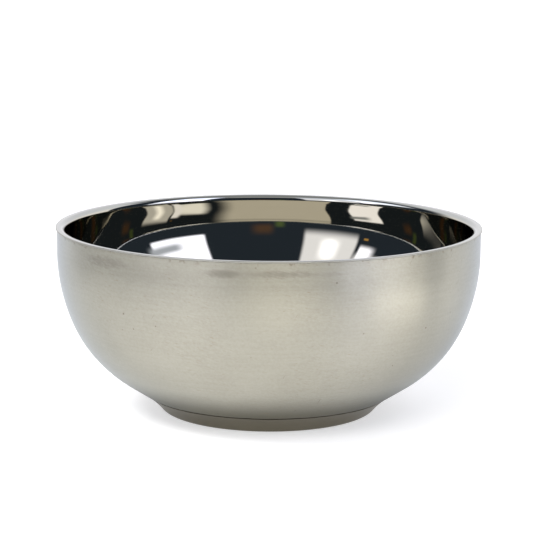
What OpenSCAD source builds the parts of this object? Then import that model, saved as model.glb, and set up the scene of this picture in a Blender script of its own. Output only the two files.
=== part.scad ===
// Double-walled steel shaving bowl, in millimetres.
// The bowl stands on the plane z = 0 and +Z is its axis of revolution.
// A drawn inner bowl and an outer shell are joined at the lip. A pressed base cap closes the shell
// below, and the space between the two walls holds only air.

/* [Lip] */
// Outer diameter of the lip
lip_d = 115; // [110:0.5:120]
// Height of the lip's top above the table
bowl_h = 50.4; // [48:0.1:54]
// Radius that rounds the lip into the inner wall
lip_round = 1.5; // [1.2:0.1:1.8]
// Radius that breaks the two outer edges of the lip
edge_round = 0.14; // [0.1:0.02:0.14]

/* [Walls] */
// Thickness of the inner and outer sheet
sheet_t = 0.4; // [0.3:0.05:0.6]
// How far the lip stands proud of the outer wall
lip_proud = 0.3; // [0.2:0.05:0.5]
// Distance from the lip's outer edge to the inner wall
rim_w = 2.55; // [2.4:0.05:2.8]

/* [Outer shell] */
// Radius of the upper belly
belly_r = 49.3; // [47:0.1:51]
// Tilt of the wall where the upper belly ends, in degrees from upright
belly_tilt = 22.5; // [18:0.5:26]
// Radius of the lower belly
turn_r = 35.6; // [34:0.1:37]
// Tilt of the straight cone under the belly
cone_tilt = 57; // [54:0.5:59]
// Length of that cone, along the sheet
cone_len = 6.4; // [5:0.1:8]

/* [Foot] */
// Radius of the hollow curve that flares into the foot
flare_r = 22.4; // [20:0.1:25]
// Tilt of the wall at the seam between shell and base
seam_tilt = 54.6; // [53.5:0.1:55.5]
// Width of the welded seam, along the sheet
seam_w = 0.6; // [0.3:0.05:0.8]
// Depth of the seam's groove
seam_depth = 0.15; // [0.1:0.05:0.25]
// Tilt of the wall where it turns under the foot
foot_tilt = 39.4; // [36:0.2:44]
// Radius of the turn under the foot
toe_r = 2.1; // [1.6:0.1:2.6]
// Thickness of the base cap's sheet
base_t = 0.6; // [0.5:0.05:0.8]
// Width of the flat ring that the bowl rests on
ring_w = 1.2; // [0.8:0.1:2]
// Radius of the two bends between the resting ring and the recess
recess_round = 1.2; // [1:0.1:1.4]
// Height of the recess under the base
recess_h = 1.8; // [1.5:0.1:2.2]

/* [Inner bowl] */
// Length of the upright wall under the lip
upright_len = 2.5; // [2:0.5:4]
// Radius of the upper inner wall
inner_top_r = 34; // [32:0.5:36]
// Tilt where the upper inner wall ends
inner_top_tilt = 20; // [18:1:22]
// Radius of the main inner curve
inner_mid_r = 42; // [41:0.5:42.5]
// Tilt where the main inner curve meets the dished floor
inner_mid_tilt = 70; // [68:1:71]
// Radius of the dished floor
inner_floor_r = 55; // [50:1:58]

/* [Vent] */
// Diameter of the sealed vent hole in the base
vent_d = 2; // [1.6:0.1:3]
// Diameter of the seal's head
seal_d = 4; // [3.6:0.1:5]
// Height of the seal's head
seal_h = 0.4; // [0.3:0.05:0.6]

/* [Hidden] */
$fn = 180;

// Largest angle between two points of a wide bend and of a tight one, in degrees
wide_step = 3;
tight_step = 10;
// Radius up to which a bend counts as tight
tight_r = 3;
// Slope of the short wall between the resting ring and the recess, as a tilt past level
recess_tilt = 150;
// Height of the welded joint between lip and shell, and how far it lies inside the shell's face
rim_weld_h = 0.15;
rim_weld_depth = 0.08;

lip_r = lip_d / 2;
wall_r = lip_r - lip_proud;
inner_r = lip_r - rim_w;
shell_top = bowl_h - sheet_t - rim_weld_h;

// Height that a bend of radius r spans between the tilts a and b
function drop(r, a, b) = r * (sin(b) - sin(a));

// Height of the level where the upright outer wall turns into the belly
belly_top = drop(belly_r, 0, belly_tilt) + drop(turn_r, belly_tilt, cone_tilt) + cone_len * cos(cone_tilt)
    - drop(flare_r, cone_tilt, foot_tilt) + drop(toe_r, foot_tilt, 90);

// Half of the seam's width, as an angle on the flare
seam_half = seam_w / flare_r * 90 / PI;
shell_end_tilt = seam_tilt + seam_half;
base_top_tilt = seam_tilt - seam_half;

// A section is walked from the top of a wall down and inward. Tilt is the direction of the walk:
// 0 is straight down, 90 is level towards the axis and 180 is straight up.
function heading(t) = [-sin(t), -cos(t)];
function outward(t) = [cos(t), -sin(t)];
function turned(a, b) = [cos(b) - cos(a), sin(a) - sin(b)];
function reversed(a) = [for (i = [len(a) - 1:-1:0]) a[i]];
function last(a) = a[len(a) - 1];

// Points of a walk that starts at p with tilt t. A move [0, length] is straight, and a move
// [radius, tilt] is a bend to that tilt, with a negative radius where the wall curves outward.
// The walk's line lies depth s behind the face that the moves describe.
function walk(p, t, moves, s, i = 0) =
    i == len(moves) ? [p] :
    moves[i][0] == 0 ? concat([p], walk(p + moves[i][1] * heading(t), t, moves, s, i + 1)) :
    let (r = moves[i][0] - s, e = moves[i][1], step = abs(r) > tight_r ? wide_step : tight_step)
    let (n = ceil(abs(e - t) / step))
    concat(
        [for (k = [0:n - 1]) p + r * turned(t, t + (e - t) * k / n)],
        walk(p + r * turned(t, e), e, moves, s, i + 1)
    );

// Section of a sheet between two depths behind its outer face
function sheet(p, t, moves, s0, s1) = concat(
    walk(p - s0 * outward(t), t, moves, s0),
    reversed(walk(p - s1 * outward(t), t, moves, s1))
);

// Moves of the outer face, from the top of the shell to the seam
shell_moves = [
    [0, shell_top - belly_top],
    [belly_r, belly_tilt],
    [turn_r, cone_tilt],
    [0, cone_len],
    [-flare_r, shell_end_tilt]
];
shell_start = [wall_r, shell_top];
shell_end = last(walk(shell_start, 0, shell_moves, 0));
base_top = last(walk(shell_end, shell_end_tilt, [[-flare_r, base_top_tilt]], 0));

// Moves of the base cap's outer face, from the seam round the foot to the top of the recess
foot_moves = [
    [-flare_r, foot_tilt],
    [toe_r, 90],
    [0, ring_w],
    [recess_round, recess_tilt],
    [0, (recess_h - 2 * recess_round * (1 - sin(recess_tilt))) / -cos(recess_tilt)],
    [-recess_round, 90]
];
recess_edge = last(walk(base_top, base_top_tilt, foot_moves, 0));
base_moves = concat(foot_moves, [[0, recess_edge.x - vent_d / 2]]);

// Moves of the inner face below the lip, to the tilt where the floor is level
cup_moves = [
    [-lip_round, 0],
    [0, upright_len],
    [inner_top_r, inner_top_tilt],
    [inner_mid_r, inner_mid_tilt],
    [inner_floor_r, 90]
];
lip_edge_r = inner_r + lip_round;
floor_edge = last(walk([lip_edge_r, bowl_h], 90, cup_moves, 0));
inner_moves = concat(cup_moves, [[0, floor_edge.x]]);
lip_moves = [
    [-edge_round, 180],
    [0, sheet_t - 2 * edge_round],
    [-edge_round, 90],
    [0, lip_r - edge_round - lip_edge_r]
];

module revolve(section) {
    rotate_extrude() polygon(section);
}

// Deep-drawn liner: its edge turns outward over the shell as a narrow flat lip
module inner_bowl() {
    face = walk([lip_r - edge_round, bowl_h - sheet_t], 270, concat(lip_moves, inner_moves), 0);
    back = walk([lip_edge_r, bowl_h - sheet_t], 90, inner_moves, -sheet_t);
    color([0.80, 0.80, 0.79]) revolve(concat(face, reversed(back)));
}

// Satin outer wall, open at the top and bottom
module outer_shell() {
    color([0.72, 0.72, 0.68]) revolve(sheet(shell_start, 0, shell_moves, 0, sheet_t));
}

// Fine welded joint between the underside of the lip and the top edge of the shell
module rim_weld() {
    color([0.50, 0.50, 0.48])
        translate([0, 0, shell_top])
            difference() {
                cylinder(r = wall_r - rim_weld_depth, h = rim_weld_h);
                translate([0, 0, -rim_weld_h]) cylinder(r = wall_r - sheet_t, h = 3 * rim_weld_h);
            }
}

// Pressed pan: the flared foot, the ring that the bowl rests on and the recessed underside
module base_cap() {
    color([0.62, 0.60, 0.55]) revolve(sheet(base_top, base_top_tilt, base_moves, 0, base_t));
}

// Ring of weld at the bottom of the seam's groove
module base_weld() {
    color([0.35, 0.34, 0.32])
        revolve(sheet(shell_end, shell_end_tilt, [[-flare_r, base_top_tilt]], seam_depth, sheet_t));
}

// Spot of weld that seals the vent hole after the walls are joined
module vent_seal() {
    dome_r = (pow(seal_d / 2, 2) + seal_h * seal_h) / (2 * seal_h);
    color([0.55, 0.54, 0.50])
        union() {
            translate([0, 0, recess_h]) cylinder(d = vent_d, h = base_t);
            intersection() {
                translate([0, 0, recess_h - seal_h + dome_r]) sphere(r = dome_r);
                translate([0, 0, recess_h - seal_h]) cylinder(d = seal_d, h = seal_h);
            }
        }
}

inner_bowl();
outer_shell();
rim_weld();
base_cap();
base_weld();
vent_seal();
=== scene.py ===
# Double-walled steel shaving bowl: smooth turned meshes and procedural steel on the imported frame.
import math

import bmesh
import bpy
from mathutils import Matrix, Vector, noise


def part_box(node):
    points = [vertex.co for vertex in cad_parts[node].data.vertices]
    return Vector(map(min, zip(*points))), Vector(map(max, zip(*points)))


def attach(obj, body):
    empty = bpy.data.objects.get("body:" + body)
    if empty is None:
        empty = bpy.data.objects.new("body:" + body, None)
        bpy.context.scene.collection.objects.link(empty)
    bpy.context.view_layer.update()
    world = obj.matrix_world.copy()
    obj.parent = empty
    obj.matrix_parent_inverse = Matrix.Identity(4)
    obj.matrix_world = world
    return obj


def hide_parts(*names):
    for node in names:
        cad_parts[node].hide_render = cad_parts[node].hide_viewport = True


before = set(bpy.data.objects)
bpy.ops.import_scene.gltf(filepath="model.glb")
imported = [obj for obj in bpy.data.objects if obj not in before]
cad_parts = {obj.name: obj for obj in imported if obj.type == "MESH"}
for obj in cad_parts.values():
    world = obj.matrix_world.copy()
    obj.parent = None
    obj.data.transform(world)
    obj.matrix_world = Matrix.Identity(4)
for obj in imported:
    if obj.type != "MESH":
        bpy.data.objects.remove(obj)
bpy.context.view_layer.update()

MM = 0.001

# Sizes that the frame gives
LIP_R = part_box("inner_bowl")[1].x
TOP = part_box("inner_bowl")[1].z
WALL_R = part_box("outer_shell")[1].x
SHELL_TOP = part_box("outer_shell")[1].z
RIM_WELD_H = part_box("rim_weld")[1].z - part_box("rim_weld")[0].z
VENT_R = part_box("vent_seal")[1].x

# Sheet and lip
SHEET = 0.4 * MM
BASE_SHEET = 0.6 * MM
EDGE_ROUND = 0.14 * MM
LIP_ROUND = 1.5 * MM
RIM_W = 2.55 * MM

# Outer wall, from the upright top to the seam
BELLY_R, BELLY_TILT = 49.3 * MM, 22.5
TURN_R, CONE_TILT = 35.6 * MM, 57.0
CONE_LEN = 6.4 * MM
FLARE_R, SEAM_TILT = 22.4 * MM, 54.6
SEAM_W, SEAM_DEPTH = 0.6 * MM, 0.15 * MM

# Foot, resting ring and recess
FOOT_TILT, TOE_R = 39.4, 2.1 * MM
RING_W = 1.2 * MM
RECESS_ROUND, RECESS_TILT, RECESS_H = 1.2 * MM, 150.0, 1.8 * MM

# Inner wall, from the lip to the level floor
UPRIGHT_LEN = 2.5 * MM
INNER_BENDS = ((34.0 * MM, 20.0), (42.0 * MM, 70.0), (55.0 * MM, 90.0))

# Vent seal
VENT_HOLE_R = 1.0 * MM
SEAL_H = 0.4 * MM

# Fineness of the turned meshes: steps round the bowl, round a fine weld, along a section and round its
# bends, the steps of a short weld face, and the angle between faces that shows as an edge
SEGMENTS = 320
WELD_SEGMENTS = 1200
STEP = 0.7 * MM
BEND_STEP = math.radians(9)
WELD_STEPS, SEAL_STEPS = 4, 16
SHARP = math.radians(28)
ON_AXIS = 1e-7


def line(length):
    """A straight stretch of a walk."""
    return ("line", length, None)


def bend(radius, tilt):
    """A bend to a tilt in degrees. The radius is negative where the wall curves outward."""
    return ("bend", radius, math.radians(tilt))


def walk(start, tilt, moves, depth=0.0):
    """Points (r, z) of a wall walked from its top down and inward, moved by depth towards the axis and up.

    Tilt 0 is straight down, 90 degrees is level towards the axis and 180 is straight up."""
    tilt = math.radians(tilt)
    r = start[0] - depth * math.cos(tilt)
    z = start[1] + depth * math.sin(tilt)
    points = [(r, z)]
    for kind, size, end in moves:
        if kind == "line":
            count = max(1, math.ceil(size / STEP))
            for _ in range(count):
                r -= math.sin(tilt) * size / count
                z -= math.cos(tilt) * size / count
                points.append((r, z))
            continue
        radius = size - depth
        count = max(math.ceil(abs(end - tilt) / BEND_STEP), math.ceil(abs(radius * (end - tilt)) / STEP))
        for k in range(1, count + 1):
            turned = tilt + (end - tilt) * k / count
            points.append((
                r + radius * (math.cos(turned) - math.cos(tilt)),
                z + radius * (math.sin(tilt) - math.sin(turned)),
            ))
        (r, z), tilt = points[-1], end
    return points


def turn(name, face, back, ripple=None, segments=SEGMENTS):
    """A smooth ring of sheet with the section face + back. The face stands ripple(point) proud of it."""
    section = face + back[::-1]
    verts, faces, rings = [], [], []
    for i, (r, z) in enumerate(section):
        before, after = section[max(i - 1, 0)], section[min(i + 1, len(section) - 1)]
        normal = Vector((before[1] - after[1], 0, after[0] - before[0])).normalized()
        count = 1 if r < ON_AXIS else segments
        rings.append((len(verts), count))
        for k in range(count):
            spin = Matrix.Rotation(2 * math.pi * k / segments, 3, "Z")
            point = spin @ Vector((r, 0, z))
            if ripple and i < len(face):
                point += spin @ normal * ripple(point)
            verts.append(point)
    for (a, count_a), (b, count_b) in zip(rings, rings[1:] + rings[:1]):
        for k in range(segments):
            j = (k + 1) % segments
            if count_a == count_b == 1:
                break
            if count_a == 1:
                faces.append((a, b + k, b + j))
            elif count_b == 1:
                faces.append((a + j, a + k, b))
            else:
                faces.append((a + j, a + k, b + k, b + j))
    mesh = bpy.data.meshes.new(name)
    mesh.from_pydata(verts, [], faces)
    solid = bmesh.new()
    solid.from_mesh(mesh)
    bmesh.ops.recalc_face_normals(solid, faces=solid.faces)
    solid.to_mesh(mesh)
    solid.free()
    mesh.shade_smooth()
    mesh.set_sharp_from_angle(angle=SHARP)
    piece = bpy.data.objects.new(name, mesh)
    bpy.context.scene.collection.objects.link(piece)
    return piece


def settle(piece, node, material):
    """The piece stands for its CAD node on the one rigid body."""
    piece.data.materials.append(material)
    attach(piece, "root")
    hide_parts(node)


def ripples(*layers, fade_from=math.inf, fade=MM):
    """A ripple function: the sum of smooth noise layers, each (wavelength, height, seed).

    It dies away over the height fade below the level fade_from."""
    def height(point):
        share = min(1.0, max(0.0, (fade_from - point.z) / fade))
        return share * sum(h * noise.noise(point / wave + Vector((seed, 0, 0))) for wave, h, seed in layers)
    return height


def inner_bowl(material):
    """The liner, from under the lip, round its edge and down to the middle of the floor."""
    lip_edge_r = LIP_R - RIM_W + LIP_ROUND
    cup = [bend(-LIP_ROUND, 0), line(UPRIGHT_LEN)] + [bend(radius, tilt) for radius, tilt in INNER_BENDS]
    floor_r = walk((lip_edge_r, TOP), 90, cup)[-1][0]
    cup.append(line(floor_r))
    lip = [
        bend(-EDGE_ROUND, 180),
        line(SHEET - 2 * EDGE_ROUND),
        bend(-EDGE_ROUND, 90),
        line(LIP_R - EDGE_ROUND - lip_edge_r),
    ]
    face = walk((LIP_R - EDGE_ROUND, TOP - SHEET), 270, lip + cup)
    back = walk((lip_edge_r, TOP), 90, cup, -SHEET)
    face[-1] = (0.0, face[-1][1])
    back[-1] = (0.0, back[-1][1])
    waves = ripples((11 * MM, 0.010 * MM, 3.1), (4.5 * MM, 0.0025 * MM, 7.7), fade_from=TOP, fade=3 * MM)
    piece = turn("inner_bowl_polished", face, back, waves)
    settle(piece, "inner_bowl", material)


def outer_moves():
    """Moves of the outer wall: from the shell's top to the seam, across the seam, and round the foot."""
    seam_half = math.degrees(SEAM_W / FLARE_R / 2)
    belly = [bend(BELLY_R, BELLY_TILT), bend(TURN_R, CONE_TILT), line(CONE_LEN)]
    foot = [bend(-FLARE_R, FOOT_TILT), bend(TOE_R, 90)]
    upright = SHELL_TOP - (walk((0, 0), 0, belly)[0][1] - walk((0, 0), 0, belly + foot)[-1][1])
    shell = [line(upright)] + belly + [bend(-FLARE_R, SEAM_TILT + seam_half)]
    seam = [bend(-FLARE_R, SEAM_TILT - seam_half)]
    return shell, seam, foot


def outer_wall(shell_material, weld_material, base_material):
    """The shell, the weld in the seam and the base cap, along one walk from under the lip to the vent hole."""
    shell, seam, foot = outer_moves()
    start = (WALL_R, SHELL_TOP)
    shell_end = walk(start, 0, shell)[-1]
    base_top = walk(start, 0, shell + seam)[-1]
    end_tilt = math.degrees(shell[-1][2])
    base_tilt = math.degrees(seam[-1][2])

    waves = ripples((16 * MM, 0.012 * MM, 1.3), (6 * MM, 0.002 * MM, 5.9), fade_from=TOP, fade=3 * MM)
    piece = turn("outer_shell_satin", walk(start, 0, shell), walk(start, 0, shell, SHEET), waves)
    settle(piece, "outer_shell", shell_material)

    face = walk(shell_end, end_tilt, seam, SEAM_DEPTH)
    beads = ripples((0.9 * MM, 0.05 * MM, 2.2), (0.35 * MM, 0.02 * MM, 4.8))
    back = walk(shell_end, end_tilt, seam, SHEET)
    piece = turn("base_weld_bead", face, back, beads, WELD_SEGMENTS)
    settle(piece, "base_weld", weld_material)

    slope = math.radians(RECESS_TILT)
    rise = RECESS_H - 2 * RECESS_ROUND * (1 - math.sin(slope))
    foot = foot + [
        line(RING_W),
        bend(RECESS_ROUND, RECESS_TILT),
        line(rise / -math.cos(slope)),
        bend(-RECESS_ROUND, 90),
    ]
    foot.append(line(walk(base_top, base_tilt, foot)[-1][0] - VENT_HOLE_R))
    face = walk(base_top, base_tilt, foot)
    back = walk(base_top, base_tilt, foot, BASE_SHEET)
    piece = turn("base_cap_pressed", face, back)
    settle(piece, "base_cap", base_material)


def rim_weld(material):
    """The bead between the lip and the shell."""
    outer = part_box("rim_weld")[1].x
    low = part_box("rim_weld")[0].z
    face = [(outer, low + RIM_WELD_H * (1 - k / WELD_STEPS)) for k in range(WELD_STEPS + 1)]
    back = [(WALL_R - SHEET, z) for r, z in face]
    beads = ripples((0.8 * MM, 0.04 * MM, 6.4), (0.3 * MM, 0.02 * MM, 8.3))
    piece = turn("rim_weld_bead", face, back, beads, WELD_SEGMENTS)
    settle(piece, "rim_weld", material)


def vent_seal(material):
    """A domed spot that fills the vent hole in the base."""
    dome_r = (VENT_R ** 2 + SEAL_H ** 2) / (2 * SEAL_H)
    reach = math.asin(VENT_R / dome_r)
    centre = RECESS_H - SEAL_H + dome_r
    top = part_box("vent_seal")[1].z
    turns = [reach * k / SEAL_STEPS for k in range(SEAL_STEPS + 1)]
    face = [(dome_r * math.sin(turned), centre - dome_r * math.cos(turned)) for turned in turns]
    back = [(0.0, top), (VENT_HOLE_R, top), (VENT_HOLE_R, RECESS_H)]
    beads = ripples((0.9 * MM, 0.05 * MM, 3.6), (0.35 * MM, 0.02 * MM, 1.9))
    piece = turn("vent_seal_spot", face, back, beads)
    settle(piece, "vent_seal", material)


# Materials -------------------------------------------------------------------------------------

def node(tree, kind, inputs=None, output=0, **settings):
    """A shader node with its settings, and inputs that are numbers or other nodes' outputs.

    Returns the output asked for, or the node itself where that is None."""
    made = tree.nodes.new("ShaderNode" + kind)
    for key, value in settings.items():
        setattr(made, key, value)
    for key, value in (inputs or {}).items():
        if isinstance(value, bpy.types.NodeSocket):
            tree.links.new(value, made.inputs[key])
        else:
            made.inputs[key].default_value = value
    return made.outputs[output] if output is not None else made


def maths(tree, operation, *values):
    """One Math node on numbers or other nodes' outputs."""
    return node(tree, "Math", dict(enumerate(values)), operation=operation)


def spread(tree, value, low, high, to_low, to_high):
    """Maps value smoothly from low..high to to_low..to_high."""
    ends = {"Value": value, "From Min": low, "From Max": high, "To Min": to_low, "To Max": to_high}
    return node(tree, "MapRange", ends, interpolation_type="SMOOTHSTEP")


class Steel:
    """A procedural steel: its node tree, the point on the piece, and ring coordinates about the axis."""

    def __init__(self, name):
        self.material = bpy.data.materials.new(name)
        self.material.use_nodes = True
        self.tree = self.material.node_tree
        self.shader = self.tree.nodes["Principled BSDF"]
        self.point = node(self.tree, "TexCoord", output="Object")
        parts = node(self.tree, "SeparateXYZ", {0: self.point}, output=None)
        self.right, self.back, self.height = parts.outputs
        flat = node(self.tree, "CombineXYZ", {"X": self.right, "Y": self.back})
        self.radius = node(self.tree, "VectorMath", {0: flat}, output="Value", operation="LENGTH")
        self.round = node(self.tree, "VectorMath", {0: flat}, operation="NORMALIZE")

    def noise(self, scale, detail=2.0, rough=0.5, seed=0.0):
        """Cloudy noise with this many cells a metre."""
        inputs = {"Vector": self.point, "W": seed, "Scale": scale, "Detail": detail, "Roughness": rough}
        return node(self.tree, "TexNoise", inputs, noise_dimensions="4D")

    def lines(self, along, across, seed=0.0):
        """Noise drawn out round the bowl: along cells to a radian and across cells to a metre of wall."""
        wide = node(self.tree, "VectorMath", {0: self.round, "Scale": along}, operation="SCALE")
        rise = node(self.tree, "CombineXYZ", {"Z": maths(self.tree, "MULTIPLY", self.height, across)})
        vector = node(self.tree, "VectorMath", {0: wide, 1: rise}, operation="ADD")
        depth = maths(self.tree, "MULTIPLY_ADD", self.radius, across, seed)
        inputs = {"Vector": vector, "W": depth, "Scale": 1.0, "Detail": 2.0}
        return node(self.tree, "TexNoise", inputs, noise_dimensions="4D")

    def strokes(self, slant, along, across, seed=0.0):
        """Noise drawn out along straight strokes that fall to the right at a slant in degrees."""
        turned = node(self.tree, "VectorRotate", {
            "Vector": self.point,
            "Axis": (0, 1, 0),
            "Angle": math.radians(-slant),
        }, rotation_type="AXIS_ANGLE")
        scaled = node(self.tree, "VectorMath", {0: turned, 1: (along, along, across)}, operation="MULTIPLY")
        inputs = {"Vector": scaled, "W": seed, "Scale": 1.0, "Detail": 2.0}
        return node(self.tree, "TexNoise", inputs, noise_dimensions="4D")

    def azimuth(self):
        """Degrees to the right of the front."""
        front = maths(self.tree, "MULTIPLY", self.back, -1.0)
        return maths(self.tree, "DEGREES", maths(self.tree, "ARCTAN2", self.right, front))

    def smudge_and_shade(self, azimuth, middle, depth, length, height, ragged):
        """1 in the middle of a soft ragged patch, partly smudge and partly painted shade, at the azimuth middle
        and depth below the shell's top.

        The half length is in degrees and the half height in metres."""
        aside = maths(self.tree, "MULTIPLY_ADD", azimuth, 1 / length, -middle / length)
        down = maths(self.tree, "MULTIPLY_ADD", self.height, 1 / height, (depth - SHELL_TOP) / height)
        squares = maths(self.tree, "MULTIPLY", aside, aside)
        squares = maths(self.tree, "MULTIPLY_ADD", down, down, squares)
        return spread(self.tree, maths(self.tree, "ADD", squares, ragged), -0.3, 1.8, 1.0, 0.0)

    def pits(self, scale, size, share):
        """1 in the middle of small pits: scale cells a metre, a share of them pitted, size metres in radius."""
        dots = node(self.tree, "TexVoronoi", {"Vector": self.point, "Scale": scale}, output=None)
        pick = node(self.tree, "SeparateColor", {0: dots.outputs["Color"]})
        near = spread(self.tree, dots.outputs["Distance"], 0.0, size * scale, 1.0, 0.0)
        return maths(self.tree, "MULTIPLY", near, maths(self.tree, "LESS_THAN", pick, share))

    def mix(self, factor, first, second):
        """The first colour where factor is 0 and the second where it is 1."""
        inputs = {"Factor": factor, 6: first, 7: second}
        return node(self.tree, "Mix", inputs, output=2, data_type="RGBA")

    def total(self, *terms):
        """The sum of (value, weight) terms, each value counted from its middle of 0.5."""
        result = 0.0
        for value, weight in terms:
            offset = maths(self.tree, "MULTIPLY_ADD", value, weight, -weight / 2)
            result = maths(self.tree, "ADD", result, offset)
        return result

    def bump(self, height, distance):
        """A normal for relief, where a height of 1 stands distance metres proud."""
        return node(self.tree, "Bump", {"Height": height, "Distance": distance, "Strength": 1.0})

    def finish(self, colour, roughness, normal, anisotropy=0.0, grazing=(0.8, 0.8, 0.8)):
        """Joins up the shader of a bare metal, brushed round the axis where it has anisotropy.

        The tint called grazing shows where the surface is seen nearly edge on."""
        inputs = self.shader.inputs
        inputs["Metallic"].default_value = 1.0
        inputs["Specular Tint"].default_value = (*grazing, 1)
        self.tree.links.new(colour, inputs["Base Color"])
        self.tree.links.new(roughness, inputs["Roughness"])
        self.tree.links.new(normal, inputs["Normal"])
        if anisotropy:
            inputs["Anisotropic"].default_value = anisotropy
            inputs["Anisotropic Rotation"].default_value = 0.25
            tangent = node(self.tree, "Tangent", direction_type="RADIAL", axis="Z")
            self.tree.links.new(tangent, inputs["Tangent"])
        return self.material


# Colours of the outside wall and of its marks, of the painted shade on its flare and under its lip, of the
# polished steel, and of the pressed base, kept dark as painted shade
WALL_DARK, WALL_LIGHT = (0.278, 0.257, 0.202, 1), (0.516, 0.500, 0.422, 1)
# Painted shade: the flare's colour, mixed in towards the seam
FLARE_SHADE = (0.116, 0.105, 0.072, 1)
# The colour of the patches under the lip: partly smudge, partly painted shade
SMUDGE_AND_SHADE, FLECK = (0.16, 0.145, 0.115, 1), (0.26, 0.20, 0.12, 1)
STAIN, SPECK = (0.14, 0.10, 0.06, 1), (0.10, 0.07, 0.045, 1)
POLISH_DARK, POLISH_LIGHT = (0.50, 0.47, 0.385, 1), (0.53, 0.50, 0.42, 1)
LIP, LIP_EDGE = (0.378, 0.388, 0.374, 1), (0.38, 0.372, 0.33, 1)
# The pressed base's colours are kept very dark: painted shade from the shaded floor beside the foot, over the
# base's own warm tint
BASE_DARK, BASE_LIGHT = (0.126, 0.112, 0.080, 1), (0.196, 0.178, 0.134, 1)
BASE_WELD_DARK, BASE_WELD_LIGHT = (0.07, 0.06, 0.05, 1), (0.20, 0.18, 0.15, 1)
RIM_WELD_DARK, RIM_WELD_LIGHT = (0.22, 0.20, 0.165, 1), (0.40, 0.39, 0.35, 1)
FLARE_TOP = 14.5 * MM

# Dark patches under the lip, partly smudges and partly painted shade: degrees right of the front, depth below
# the shell's top, half length in degrees, half height and strength
SMUDGE_AND_SHADE_PATCHES = (
    (-46, 3.0 * MM, 7, 1.4 * MM, 0.32),
    (-32, 4.6 * MM, 16, 2.2 * MM, 0.07),
    (-11.5, 2.8 * MM, 3.8, 1.0 * MM, 0.40),
    (-3, 2.7 * MM, 12, 0.9 * MM, 0.14),
    (4, 2.7 * MM, 7, 0.9 * MM, 0.28),
    (15, 2.9 * MM, 5, 0.6 * MM, 0.18),
)


def satin_steel():
    """Warm grey outside wall: brushed round the axis, rubbed at a slant, stained near the lip, and darker in
    patches under the lip that are partly smudges and partly painted shade.

    It has brown flecks along the rub marks, a few scratches, and small pits, alone and in crowds. The hollow
    flare above the foot is rougher, and painted darker as shade from the shaded floor beside the foot."""
    steel = Steel("satin_steel")
    tree = steel.tree
    fine = steel.lines(6, 7000)
    broad = steel.lines(2.5, 1800, seed=4.0)
    cloud = steel.noise(60, detail=5, rough=0.6)
    patches = spread(tree, steel.noise(45, seed=2.0), 0.40, 0.62, 0.3, 1.0)
    rub = maths(tree, "SUBTRACT", steel.strokes(15, 520, 2600, seed=9.0), 0.5)
    rub = maths(tree, "MULTIPLY_ADD", rub, patches, 0.5)
    grain = steel.noise(1500, detail=2, seed=3.0)
    shade = maths(tree, "ADD", steel.total((cloud, 0.40), (broad, 0.2), (rub, 0.34), (grain, 0.34)), 0.5)
    colour = steel.mix(shade, WALL_DARK, WALL_LIGHT)

    ragged = steel.total((rub, 3.2), (cloud, 2.0))
    azimuth = steel.azimuth()
    # Dark patches under the lip on the front: partly smudges, partly painted shade
    for middle, depth, length, height, strength in SMUDGE_AND_SHADE_PATCHES:
        mark = steel.smudge_and_shade(azimuth, middle, depth, length, height, ragged)
        colour = steel.mix(maths(tree, "MULTIPLY", mark, strength), colour, SMUDGE_AND_SHADE)
    # Painted shade: the flare darkens towards the seam, for the shaded floor beside the foot that it faces
    flare = spread(tree, steel.height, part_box("outer_shell")[0].z, FLARE_TOP, 1.0, 0.0)
    colour = steel.mix(maths(tree, "MULTIPLY", flare, 0.82), colour, FLARE_SHADE)

    flecks = spread(tree, steel.strokes(14, 650, 3600, seed=11.0), 0.60, 0.74, 0.0, 0.42)
    colour = steel.mix(maths(tree, "MULTIPLY", flecks, patches), colour, FLECK)
    under_lip = spread(tree, steel.height, SHELL_TOP - 1.1 * MM, SHELL_TOP - 0.2 * MM, 0.0, 1.0)
    stain = spread(tree, steel.noise(650, detail=3, seed=6.0), 0.56, 0.68, 0.0, 0.45)
    colour = steel.mix(maths(tree, "MULTIPLY", under_lip, stain), colour, STAIN)

    scratch = spread(tree, steel.strokes(-62, 150, 2600, seed=5.0), 0.735, 0.79, 0.0, 0.6)
    lone = steel.pits(300, 0.38 * MM, 0.13)
    crowd = spread(tree, steel.noise(55, seed=8.0), 0.60, 0.66, 0.0, 1.0)
    crowd = maths(tree, "MULTIPLY", crowd, steel.pits(700, 0.30 * MM, 0.35))
    specks = maths(tree, "MAXIMUM", maths(tree, "MAXIMUM", lone, crowd), scratch)
    colour = steel.mix(maths(tree, "MULTIPLY", specks, 0.85), colour, SPECK)

    roughness = maths(tree, "ADD", steel.total((cloud, 0.06), (fine, 0.05), (rub, 0.03)), 0.35)
    roughness = maths(tree, "MULTIPLY_ADD", flare, 0.10, roughness)
    relief = steel.total((fine, 1.0), (broad, 0.5), (rub, 0.4), (specks, -0.8))
    normal = steel.bump(relief, 0.004 * MM)
    return steel.finish(colour, roughness, normal, anisotropy=0.84, grazing=(0.75, 0.80, 0.88))


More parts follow.
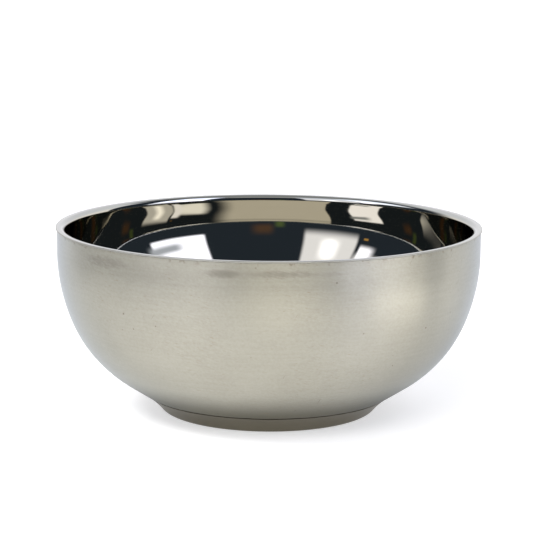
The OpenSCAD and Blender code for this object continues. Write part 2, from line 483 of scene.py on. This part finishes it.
def mirror_steel():
    """Polished inside and lip: faint haze, hairlines round the axis, a cooler lip and a satin outer edge."""
    steel = Steel("mirror_steel")
    tree = steel.tree
    haze = steel.noise(60, detail=3)
    hair = steel.lines(3, 6000)
    lip = spread(tree, steel.height, TOP - 1.3 * MM, TOP - 0.5 * MM, 0.0, 1.0)
    rim = spread(tree, steel.radius, LIP_R - 0.22 * MM, LIP_R - 0.10 * MM, 0.0, 1.0)
    colour = steel.mix(haze, POLISH_DARK, POLISH_LIGHT)
    colour = steel.mix(lip, colour, LIP)
    colour = steel.mix(rim, colour, LIP_EDGE)
    roughness = maths(tree, "ADD", steel.total((haze, 0.03), (hair, 0.02)), 0.03)
    roughness = maths(tree, "MULTIPLY_ADD", lip, 0.05, roughness)
    roughness = maths(tree, "MULTIPLY_ADD", rim, 0.28, roughness)
    normal = steel.bump(hair, 0.0004 * MM)
    return steel.finish(colour, roughness, normal)


def base_steel():
    """Pressed base: warmer than the shell, with turning marks. Its colour is kept very dark: painted shade from
    the shaded floor beside the foot, over its own warm tint.
    """
    steel = Steel("base_steel")
    tree = steel.tree
    fine = steel.lines(5, 5000)
    cloud = steel.noise(70, detail=4, rough=0.6)
    shade = maths(tree, "ADD", steel.total((cloud, 1.0), (fine, 0.5)), 0.5)
    colour = steel.mix(shade, BASE_DARK, BASE_LIGHT)
    roughness = maths(tree, "ADD", steel.total((cloud, 0.14), (fine, 0.10)), 0.36)
    normal = steel.bump(fine, 0.006 * MM)
    return steel.finish(colour, roughness, normal, anisotropy=0.4)


def weld_steel(name, dark, light, roughness):
    """Weld metal: small solidification ripples and a blotchy heat tint."""
    steel = Steel(name)
    bead = steel.noise(1800, detail=3, rough=0.6)
    tint = steel.noise(250, detail=2, seed=2.0)
    shade = maths(steel.tree, "ADD", steel.total((bead, 0.8), (tint, 1.0)), 0.5)
    colour = steel.mix(shade, dark, light)
    rough = maths(steel.tree, "ADD", steel.total((bead, 0.2)), roughness)
    normal = steel.bump(bead, 0.03 * MM)
    return steel.finish(colour, rough, normal)


# Stage -----------------------------------------------------------------------------------------

def camera():
    """The photograph's view: a long lens, about ten degrees above the rim and very slightly rolled."""
    distance, height = 0.550, 0.1382
    yaw, pitch, roll = math.radians(0.062), math.radians(10.24), math.radians(0.35)
    data = bpy.data.cameras.new("camera")
    data.sensor_width = 36.0
    data.lens = 138.9
    data.clip_start, data.clip_end = 0.01, 50.0
    eye = bpy.data.objects.new("camera", data)
    eye.matrix_world = (
        Matrix.Translation((0.0, -distance, height))
        @ Matrix.Rotation(yaw, 4, "Z")
        @ Matrix.Rotation(math.pi / 2 - pitch, 4, "X")
        @ Matrix.Rotation(roll, 4, "Z")
    )
    bpy.context.scene.collection.objects.link(eye)
    bpy.context.scene.camera = eye


def floor():
    """A pale table top, far wider than the view, just clear of the resting ring.

    It looks matt to the camera, but the bowl's wall reflects its sheen. From below it is clear, to show the
    underside."""
    half, low = 6.0, -0.05 * MM
    mesh = bpy.data.meshes.new("floor")
    corners = [(-half, -half, low), (half, -half, low), (half, half, low), (-half, half, low)]
    mesh.from_pydata(corners, [], [(0, 1, 2, 3)])
    table = bpy.data.objects.new("floor", mesh)
    bpy.context.scene.collection.objects.link(table)
    paint = bpy.data.materials.new("table_white")
    paint.use_nodes = True
    tree = paint.node_tree
    matt = tree.nodes["Principled BSDF"]
    matt.inputs["Base Color"].default_value = (0.56, 0.56, 0.56, 1)
    matt.inputs["Roughness"].default_value = 0.7
    matt.inputs["Specular IOR Level"].default_value = 0.2
    matt.inputs["Emission Color"].default_value = (1.0, 1.0, 1.0, 1)
    matt.inputs["Emission Strength"].default_value = 0.56
    sheen = node(tree, "BsdfGlossy", {"Color": (1, 1, 1, 1), "Roughness": 0.3})
    share = node(tree, "Fresnel", {"IOR": 1.33})
    unseen = maths(tree, "SUBTRACT", 1.0, node(tree, "LightPath", output="Is Camera Ray"))
    share = maths(tree, "MULTIPLY", share, unseen)
    mixed = node(tree, "MixShader", {0: share, 1: matt.outputs["BSDF"], 2: sheen})
    below = node(tree, "NewGeometry", output="Backfacing")
    mixed = node(tree, "MixShader", {0: below, 1: mixed, 2: node(tree, "BsdfTransparent")})
    tree.links.new(mixed, tree.nodes["Material Output"].inputs["Surface"])
    mesh.materials.append(paint)


# Studio panels, in the order in which they cover each other: azimuth from and to, measured from straight
# behind the bowl towards +X, elevation from and to, softness of the left, right, lower and upper edge, and
# colour. All angles are in degrees.
PANELS = (
    ("ceiling", (-200, 200), (60, 100), (1, 1, 7, 1), (0.50, 0.50, 0.50)),
    ("front_ceiling", (145, 215), (53, 72), (8, 8, 4, 4), (0.65, 0.65, 0.63)),
    ("backdrop", (-55, 72), (1, 50), (14, 1, 4, 8), (1.40, 1.39, 1.43)),
    ("doorway", (171, 182), (7, 15), (4, 3, 3, 4), (0.12, 0.070, 0.045)),
    ("plant", (184, 189), (2, 9), (2, 2, 2, 2), (0.11, 0.16, 0.06)),
    ("lamp", (-120, -117), (12.3, 14.1), (0.6, 0.6, 0.5, 0.5), (0.62, 0.36, 0.10)),
    ("side_window", (-122, -80), (28, 62), (4, 8, 5, 5), (2.6, 2.7, 3.1)),
    ("slit_window", (-121, -111.5), (20, 35), (1, 3.5, 3, 5), (2.6, 2.7, 3.3)),
    ("softbox", (-158, -124), (12.5, 64), (1.5, 1.2, 4.5, 5), (1.42, 1.46, 1.66)),
    ("softbox_glow", (-145, -137), (19, 34), (5, 5, 4, 5), (3.4, 3.5, 4.0)),
    ("window", (103, 140), (14, 62), (1.5, 1.5, 1.5, 5), (3.0, 3.15, 4.0)),
    ("window_blind", (100, 124), (18, 25), (3, 6, 3, 2.5), (0.70, 0.78, 0.98)),
)
DARK_ROOM = (0.027, 0.038, 0.056)


def edge(tree, value, at, soft, rising=True):
    """A soft step at an angle in degrees: from 0 up to 1, or from 1 down to 0."""
    ends = (0.0, 1.0) if rising else (1.0, 0.0)
    return spread(tree, value, math.radians(at - soft), math.radians(at + soft), *ends)


def studio():
    """The light all round: white backdrop behind, dim ceiling, windows, softbox and a dark room in front.

    The room has a warm doorway, a plant and a small lamp. The camera itself sees plain white."""
    world = bpy.data.worlds.new("studio")
    world.use_nodes = True
    bpy.context.scene.world = world
    tree = world.node_tree
    tree.nodes.clear()
    parts = node(tree, "SeparateXYZ", {0: node(tree, "TexCoord", output="Generated")}, output=None)
    azimuth = maths(tree, "ARCTAN2", parts.outputs["X"], parts.outputs["Y"])
    elevation = maths(tree, "ARCSINE", parts.outputs["Z"])
    light = node(tree, "RGB")
    light.default_value = (*DARK_ROOM, 1)
    for _, (left, right), (low, high), soft, colour in PANELS:
        middle, half = (left + right) / 2, (right - left) / 2
        offset = maths(tree, "SUBTRACT", azimuth, math.radians(middle))
        swing = maths(tree, "WRAP", offset, math.pi, -math.pi)
        mask = edge(tree, swing, -half, soft[0])
        mask = maths(tree, "MULTIPLY", mask, edge(tree, swing, half, soft[1], rising=False))
        mask = maths(tree, "MULTIPLY", mask, edge(tree, elevation, low, soft[2]))
        mask = maths(tree, "MULTIPLY", mask, edge(tree, elevation, high, soft[3], rising=False))
        inputs = {"Factor": mask, 6: light, 7: (*colour, 1)}
        light = node(tree, "Mix", inputs, output=2, data_type="RGBA")
    seen = node(tree, "LightPath", output="Is Camera Ray")
    light = node(tree, "Mix", {"Factor": seen, 6: light, 7: (1, 1, 1, 1)}, output=2, data_type="RGBA")
    background = node(tree, "Background", {"Color": light, "Strength": 1.0})
    node(tree, "OutputWorld", {"Surface": background}, output=None)


# Lamps over the table: place in metres, power in watts and colour, then a disc's diameter, or a spot's full
# angle in degrees and how soft its edge is
WHITE, CREAM, WARM = (1.0, 1.0, 1.0), (1.0, 0.97, 0.91), (1.0, 0.97, 0.88)
DISCS = (
    ("key_lamp", (-0.6, -0.35, 0.8), 9.0, WHITE, 0.4),
    ("front_lamp", (-0.05, -0.42, 0.35), 1.7, WARM, 0.3),
)
SPOTS = (
    ("front_spot", (0.025, -0.205, 0.7), 55.0, WARM, 16, 1.0),
    ("left_spot", (-0.18, 0.01, 0.7), 16.0, WHITE, 12, 1.0),
    ("right_spot", (0.20, -0.005, 0.7), 29.0, WHITE, 12, 1.0),
    ("column_spot", (0.155, -0.08, 0.7), 80.0, CREAM, 10, 0.6),
    ("far_spot", (0.28, -0.105, 0.7), 32.0, CREAM, 12, 0.6),
)


def table_lamp(name, kind, place, power, colour):
    """A lamp that lights the table from above, and is not itself mirrored in the steel. Returns its data."""
    data = bpy.data.lights.new(name, kind)
    data.energy = power
    data.color = colour
    lamp = bpy.data.objects.new(name, data)
    lamp.location = place
    lamp.visible_glossy = False
    bpy.context.scene.collection.objects.link(lamp)
    return data


def table_lamps():
    """The broad discs, then the spots."""
    for name, place, power, colour, diameter in DISCS:
        data = table_lamp(name, "AREA", place, power, colour)
        data.shape = "DISK"
        data.size = diameter
    for name, place, power, colour, angle, blend in SPOTS:
        data = table_lamp(name, "SPOT", place, power, colour)
        data.spot_size = math.radians(angle)
        data.spot_blend = blend


camera()
inner_bowl(mirror_steel())
base_weld_metal = weld_steel("base_weld_steel", BASE_WELD_DARK, BASE_WELD_LIGHT, 0.5)
outer_wall(satin_steel(), base_weld_metal, base_steel())
rim_weld(weld_steel("rim_weld_steel", RIM_WELD_DARK, RIM_WELD_LIGHT, 0.4))
vent_seal(base_weld_metal)
floor()
studio()
table_lamps()
bpy.context.scene.view_settings.view_transform = "Standard"
